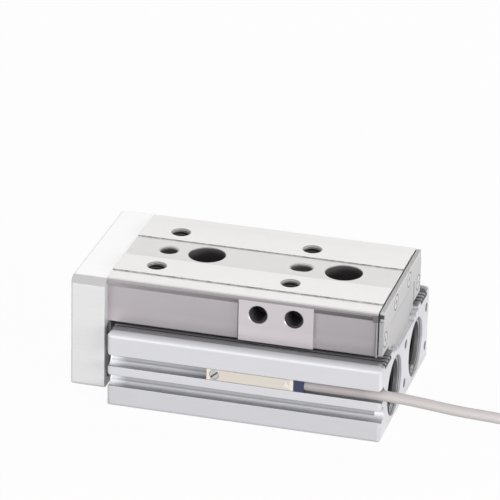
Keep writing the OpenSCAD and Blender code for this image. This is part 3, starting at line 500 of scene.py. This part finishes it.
FINISHES = {finish.name: finish for finish in (
    anodised("anodised_body", (0.64, 0.64, 0.67), metallic=0.3, tone_and_light=body_painted_light),
    anodised("anodised_plate", (0.86, 0.86, 0.865), metallic=0.45, tone_and_light=plate_painted_light),
    ground("ground_steel", (0.708, 0.692, 0.686), rough=0.4, metallic=0.5,
           flank=TABLE_FLANK_COLOUR, tone_and_light=table_painted_light),
    ground("rail_steel", (0.50, 0.49, 0.49), rough=0.45, metallic=0.35),
    plain_metal("rod_steel", (0.75, 0.75, 0.76), rough=0.15),
    plain_metal("black_oxide", (0.05, 0.05, 0.055), rough=0.4, metallic=0.7),
    plain_metal("zinc_screw", (0.64, 0.63, 0.63), rough=0.45, tone_and_light=screw_painted_shade),
    plain_metal("spring_steel", (0.46, 0.46, 0.47), rough=0.4),
    moulded("grey_resin", (0.52, 0.515, 0.525), rough=0.45, tone_and_light=cap_painted_light),
    moulded("black_resin", (0.014, 0.014, 0.016), rough=0.6, specular=0.04),
    moulded("nitrile", (0.02, 0.02, 0.02), rough=0.6),
    moulded("urethane", (0.20, 0.28, 0.16), rough=0.5),
    plain_metal("bronze", (0.45, 0.32, 0.17), rough=0.45),
    moulded("ptfe", (0.62, 0.56, 0.42), rough=0.5),
    plain_metal("magnet", (0.10, 0.10, 0.11), rough=0.5),
    moulded("cream_plastic", (0.76, 0.70, 0.63), rough=0.4, tone_and_light=switch_colour_and_shade),
    moulded("navy_plastic", (0.024, 0.032, 0.085), rough=0.4),
    moulded("lead_sheath", (0.62, 0.575, 0.57), rough=0.5, tone_and_light=lead_painted_shade),
    moulded("core_wire", (0.20, 0.12, 0.10), rough=0.4),
    plain_metal("thread", (0.22, 0.21, 0.21), rough=0.4, metallic=0.6),
    # A copy of thread darkened as painted shade, for threads that lie in shadow
    plain_metal("dark_thread", (0.07, 0.065, 0.065), rough=0.5, metallic=0.4),
    moulded("clear_lens", (0.84, 0.83, 0.80), rough=0.25, grain=3.0, edge=0.03),
)}


def paint(node, finish):
    """Gives a CAD node its finish in every slot."""
    obj = nodes[node]
    if not obj.material_slots:
        obj.data.materials.append(finish.material)
    for slot in obj.material_slots:
        slot.material = finish.material


for part in frame["record"]["subparts"]:
    paint(part["node"], FINISHES[part["material_slot"]])

# ---- Camera ----

EYE = Vector((210.67, -804.30, 403.57)) * MM
AIM = Vector((1.84, -8.93, 37.82)) * MM
ROLL = math.radians(1.35)
FOCAL_LENGTH = 274.3
SENSOR_WIDTH = 36
NEAR, FAR = 0.05, 10


def make_camera():
    data = bpy.data.cameras.new("camera")
    data.lens = FOCAL_LENGTH
    data.sensor_width = SENSOR_WIDTH
    data.clip_start = NEAR
    data.clip_end = FAR
    camera = bpy.data.objects.new("camera", data)
    level = (EYE - AIM).to_track_quat("Z", "Y").to_matrix()
    turned = level @ Matrix.Rotation(ROLL, 3, "Z")
    camera.matrix_world = Matrix.Translation(EYE) @ turned.to_4x4()
    bpy.context.scene.collection.objects.link(camera)
    bpy.context.scene.camera = camera


make_camera()

# ---- The switch's lead, in millimetres ----

LEAD_D = 2.6
TURN_PITCH = LEAD_D + 0.06      # distance between the coil's turns, which leaves them just apart
CORD_ROUND, CORD_SMOOTH = 5, 3  # steps round it and between its points
COIL_R = 17.2
COIL_CENTRE = Vector((85, 0.6, 0.4 + LEAD_D / 2))
COIL_TURNS = 4.5
FLOOR_TURNS = 3                 # the turns that lie on the floor. The rest lie on top of them
STEPS_PER_TURN = 72
# In degrees: where in a turn it starts to step to the next, what the step takes, where the one
# step on top starts, and what a raised turn takes to sink back
STEP_FROM = 300
STEP_OVER = 60
TOP_STEP_FROM = 1260
SINK_OVER = 25
# The free stretch, from the switch's boot to the coil
LEAD_ROUTE = [
    (19.8, -23.6, 11.9), (24, -23.6, 11.9), (28, -23.6, 11.9), (33, -23.6, 11.9),
    (38, -23.6, 11.9), (41, -23.6, 11.8), (45, -23.4, 11.5), (49, -23.1, 11), (53, -22.7, 10.4),
    (57, -22.2, 9.8), (61, -21.5, 9.3), (65, -20.6, 8.7), (69, -19.5, 7.8), (72.5, -18.4, 6.5),
    (75.5, -17.6, 5), (78.5, -17, 3.5), (81.5, -16.7, 2.3), (85, -16.6, 1.7),
]
# Its end, from the coil's top to the bare cores
LEAD_END = [
    (82.5, 16.67, 4.15), (80, 18.1, 4.3), (77.5, 19.3, 3.7), (75, 20.9, 2.4), (72.5, 22.6, 1.45),
    (70, 24.2, 1.3), (67.5, 25.6, 1.3),
]


def part_of(t):
    """t, kept between 0 and 1."""
    return max(0.0, min(1.0, t))


def ease(t):
    """0 up to t = 0 and 1 from t = 1, with a smooth step between."""
    t = part_of(t)
    return t * t * (3 - 2 * t)


def coil_point(turned):
    """The coil's centre line after that many degrees: three turns inwards on the floor and one and
    a half outwards on top of them. Each turn steps to the next over its last sixth."""
    out = [COIL_R - TURN_PITCH * k for k in range(FLOOR_TURNS)]
    top = [out[2] + TURN_PITCH / 2, out[1] + TURN_PITCH / 2]
    # The rise of a turn that lies between two others, and of one that crosses another
    nested = math.sqrt(LEAD_D ** 2 - (TURN_PITCH / 2) ** 2)
    crossing = LEAD_D + 0.02
    turn, part = divmod(turned, 360)
    turn = int(turn)
    step = (part - STEP_FROM) / STEP_OVER
    if turn < FLOOR_TURNS:
        goal = (out[1:] + top[:1])[turn]
        radius = out[turn] + (goal - out[turn]) * max(0, step)
        rise = 0
        if turn == FLOOR_TURNS - 1:    # it climbs across the turn beside it and sinks between two
            rise = crossing * ease((step + 0.55) / 0.8)
            rise -= (crossing - nested) * ease((step - 0.8) / 0.4)
    else:
        across = (turned - TOP_STEP_FROM) / STEP_OVER
        radius = top[0] + (top[1] - top[0]) * part_of(across)
        raised = 1 - ease(part / SINK_OVER)
        if turn == FLOOR_TURNS:
            raised = max(raised, ease((step + 0.4) / 0.4))
        rise = nested + (crossing - nested) * raised
        if -0.2 < across < 1.2:
            aside = min(abs(radius - out[1]), TURN_PITCH / 2)
            rise = max(rise, math.sqrt(crossing ** 2 - aside ** 2))
    angle = math.radians(turned - 90)
    return COIL_CENTRE + Vector((radius * math.cos(angle), radius * math.sin(angle), rise))


def smooth_curve(name, points, radius):
    """A round cord along points in millimetres, as one open spline."""
    curve = bpy.data.curves.new(name, "CURVE")
    curve.dimensions = "3D"
    curve.bevel_depth = radius * MM
    curve.bevel_resolution = CORD_ROUND
    curve.resolution_u = CORD_SMOOTH
    curve.use_fill_caps = True
    spline = curve.splines.new("NURBS")
    spline.points.add(len(points) - 1)
    for point, place in zip(spline.points, points):
        point.co = (*(Vector(place) * MM), 1)
    spline.order_u = 3
    spline.use_endpoint_u = True
    obj = bpy.data.objects.new(name, curve)
    bpy.context.scene.collection.objects.link(obj)
    return obj


def make_lead():
    steps = int(COIL_TURNS * STEPS_PER_TURN)
    coil = [coil_point(i * 360 / STEPS_PER_TURN) for i in range(1, steps + 1)]
    lead = smooth_curve("lead", [*LEAD_ROUTE, *coil, *LEAD_END], LEAD_D / 2)
    lead.data.materials.append(FINISHES["lead_sheath"].material)
    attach(lead, "base")
    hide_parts("switch_lead", "lead_coil", "lead_tail")


make_lead()

# ---- New pieces ----

LENS_R = 0.95                   # from the window's middle to its corners
LENS_THICK = 0.5
LENS_SUNK = 0.38                # how much of its thickness lies in the housing
LENS_BEVEL = 0.12
LENS_FROM_END = 1.9
LENS_DROP = 0.2                 # how far it lies below the switch's middle


def place_piece(name, bm, finish, body):
    """Makes an object of a shape in millimetres, in its finish and on its body."""
    bmesh.ops.scale(bm, verts=bm.verts, vec=(MM, MM, MM))
    mesh = bpy.data.meshes.new(name)
    bm.to_mesh(mesh)
    bm.free()
    mesh.materials.append(FINISHES[finish].material)
    obj = bpy.data.objects.new(name, mesh)
    bpy.context.scene.collection.objects.link(obj)
    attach(obj, body)
    return obj


def make_lens():
    """The small three-sided window over the switch's light, standing a little proud of its face."""
    start, end = box_mm("switch_housing")
    bm = bmesh.new()
    bmesh.ops.create_circle(bm, cap_ends=True, segments=3, radius=LENS_R)
    prism = bmesh.ops.extrude_face_region(bm, geom=bm.faces[:])["geom"]
    raised = [v for v in prism if isinstance(v, bmesh.types.BMVert)]
    bmesh.ops.translate(bm, verts=raised, vec=(0, 0, LENS_THICK))
    bmesh.ops.recalc_face_normals(bm, faces=bm.faces)
    bmesh.ops.bevel(bm, geom=bm.edges[:], offset=LENS_BEVEL, segments=2, profile=0.5, material=-1,
                    affect="EDGES")
    bmesh.ops.rotate(bm, verts=bm.verts, matrix=Matrix.Rotation(math.radians(90), 3, "X"))
    bmesh.ops.translate(bm, verts=bm.verts,
                        vec=(end.x - LENS_FROM_END, start.y + LENS_SUNK, SWITCH_Z - LENS_DROP))
    place_piece("switch_lens", bm, "clear_lens", "base")


make_lens()

# ---- Threads ----

# Pitch of each thread by its wall's radius, in millimetres
PITCHES = {2.1: 0.8, 1.65: 0.7, 1.05: 0.45}
# The ridge, by the thread's pitch
RIDGE_FROM = 0.6                # from the hole's mouth to its start
RIDGE_HIGH = 0.3
RIDGE_HALF = 0.42               # half the width of its foot
RIDGE_SUNK = 0.02               # how far its foot lies in the wall, in millimetres
TURNS_LEFT = 0.5                # turns from its end to the hole's floor
THREAD_STEPS = 28               # steps in a turn

# The body, the depth and the finish of each mount's threads
TAPPED = {
    "table_taps": ("slide", 5.6, "thread"),
    # The darker thread finish is painted shade for threads that lie in shadow
    "table_side_taps": ("slide", 5.6, "dark_thread"),
    "end_plate_taps": ("slide", 8.2, "dark_thread"),
    "rod_side_port": ("base", 4.6, "dark_thread"),
    "head_side_port": ("base", 4.6, "dark_thread"),
    "head_end_taps": ("base", 4.6, "thread"),
}


def make_thread(name, mouth, inwards, radius, depth, body, finish):
    """A helical ridge on the wall of a tapped hole. mouth is the centre of its mouth."""
    pitch = next(p for r, p in PITCHES.items() if abs(r - radius) < 0.01)
    start = pitch * RIDGE_FROM
    turns = (depth - start) / pitch - TURNS_LEFT
    inwards = Vector(inwards)
    across = inwards.orthogonal().normalized()
    foot = radius + RIDGE_SUNK
    profile = [(foot, -RIDGE_HALF), (radius - RIDGE_HIGH * pitch, 0), (foot, RIDGE_HALF)]
    bm = bmesh.new()
    points = [bm.verts.new(across * r + inwards * (start + h * pitch)) for r, h in profile]
    edges = [bm.edges.new(pair) for pair in (points[:2], points[1:], (points[2], points[0]))]
    bmesh.ops.spin(bm, geom=[*points, *edges], cent=(0, 0, 0), axis=inwards,
                   angle=2 * math.pi * turns, dvec=inwards * (pitch / THREAD_STEPS),
                   steps=int(THREAD_STEPS * turns))
    bmesh.ops.holes_fill(bm, edges=[e for e in bm.edges if e.is_boundary])
    bmesh.ops.recalc_face_normals(bm, faces=bm.faces)
    bmesh.ops.transform(bm, verts=bm.verts, matrix=Matrix.Translation(mouth))
    place_piece(name, bm, finish, body).data.shade_smooth()


def holes_of(mount):
    """The centres of the mouths that a mount stands for, in millimetres, and the direction in."""
    dims = mount["dims"]
    inwards = -Vector(mount["axis"])
    middle = Vector(mount["pos_m"]) / MM
    if mount["kind"] == "threaded_hole":
        return [middle - inwards * dims["length_mm"] / 2], inwards
    first, second = (axis for axis in Matrix.Identity(3) if abs(axis.dot(inwards)) < 0.5)
    wide, high = dims.get("spacing_x_mm", 0) / 2, dims.get("spacing_y_mm", 0) / 2
    signs = [(a, b) for a in (-1, 1) for b in ((-1, 1) if high else (0,))]
    return [middle + first * a * wide + second * b * high for a, b in signs], inwards


def make_threads():
    for name, (body, depth, finish) in TAPPED.items():
        mount = mounts[name]
        radius = mount["dims"].get("hole_r_mm") or mount["dims"]["r_mm"]
        centres, inwards = holes_of(mount)
        for number, centre in enumerate(centres, 1):
            piece = f"{name}_thread_{number}"
            make_thread(piece, centre, inwards, radius, depth, body, finish)


make_threads()

# ---- Studio ----

WHITE = (1, 1, 1, 1)
AMBIENT = 0.22
FLOOR_SIZE = 3                  # from its middle to its edges, in metres
FLOOR_TO_LIGHT = (0.25, 0.25, 0.25)
FLOOR_TO_EYE = (0.98, 0.98, 0.98)
FLOOR_GLOW = 0.96


def make_backdrop():
    """A world that is white to the eye and in reflections, and lights the scene only faintly."""
    scene = bpy.context.scene
    scene.view_settings.view_transform = "Standard"
    scene.world = bpy.data.worlds.new("studio")
    sky = Tree(scene.world)
    sky.raw.nodes.clear()
    lit, seen = (
        sky.add("ShaderNodeBackground", {"Color": WHITE, "Strength": strength}).outputs[0]
        for strength in (AMBIENT, 1.0))
    both = sky.add("ShaderNodeMixShader", {0: sky.background_rays(), 1: lit, 2: seen})
    sky.add("ShaderNodeOutputWorld", {0: both.outputs[0]})


def make_floor():
    """A floor that is grey to the light and white to the eye, but for the object's soft shadow."""
    mesh = bpy.data.meshes.new("floor")
    bm = bmesh.new()
    bmesh.ops.create_grid(bm, x_segments=1, y_segments=1, size=FLOOR_SIZE)
    bm.to_mesh(mesh)
    bm.free()
    floor = bpy.data.objects.new("floor", mesh)
    bpy.context.scene.collection.objects.link(floor)
    f = Finish("floor", FLOOR_TO_LIGHT, 0.9, specular=0.0)
    seen = f.background_rays()
    f.set("Base Color", f.mix(seen, FLOOR_TO_LIGHT, FLOOR_TO_EYE))
    glow = f.add("ShaderNodeEmission", {"Strength": 1.0})
    inputs = {0: seen * FLOOR_GLOW, 1: f.shader.outputs[0], 2: glow.outputs[0]}
    surface = f.add("ShaderNodeMixShader", inputs).outputs[0]
    f.feed(f.raw.nodes["Material Output"].inputs[0], surface)
    floor.data.materials.append(f.material)


def softbox(name, place, aim, size, watts):
    """A soft lamp that faces its aim. All its lengths are in metres."""
    light = bpy.data.lights.new(name, "AREA")
    light.shape = "RECTANGLE"
    light.size, light.size_y = size
    light.energy = watts
    obj = bpy.data.objects.new(name, light)
    obj.location = place
    obj.rotation_euler = (Vector(place) - Vector(aim)).to_track_quat("Z", "Y").to_euler()
    bpy.context.scene.collection.objects.link(obj)


make_backdrop()
make_floor()
softbox("back", place=(-0.1, 0.75, 0.8), aim=(0, 0, 0.02), size=(1.0, 0.6), watts=3.4)
softbox("front", place=(-0.35, -0.95, 0.13), aim=(0, 0, 0.01), size=(1.4, 0.18), watts=6.9)
softbox("right", place=(1.0, -0.3, 0.18), aim=(0, 0, 0.01), size=(1.2, 0.34), watts=11.0)
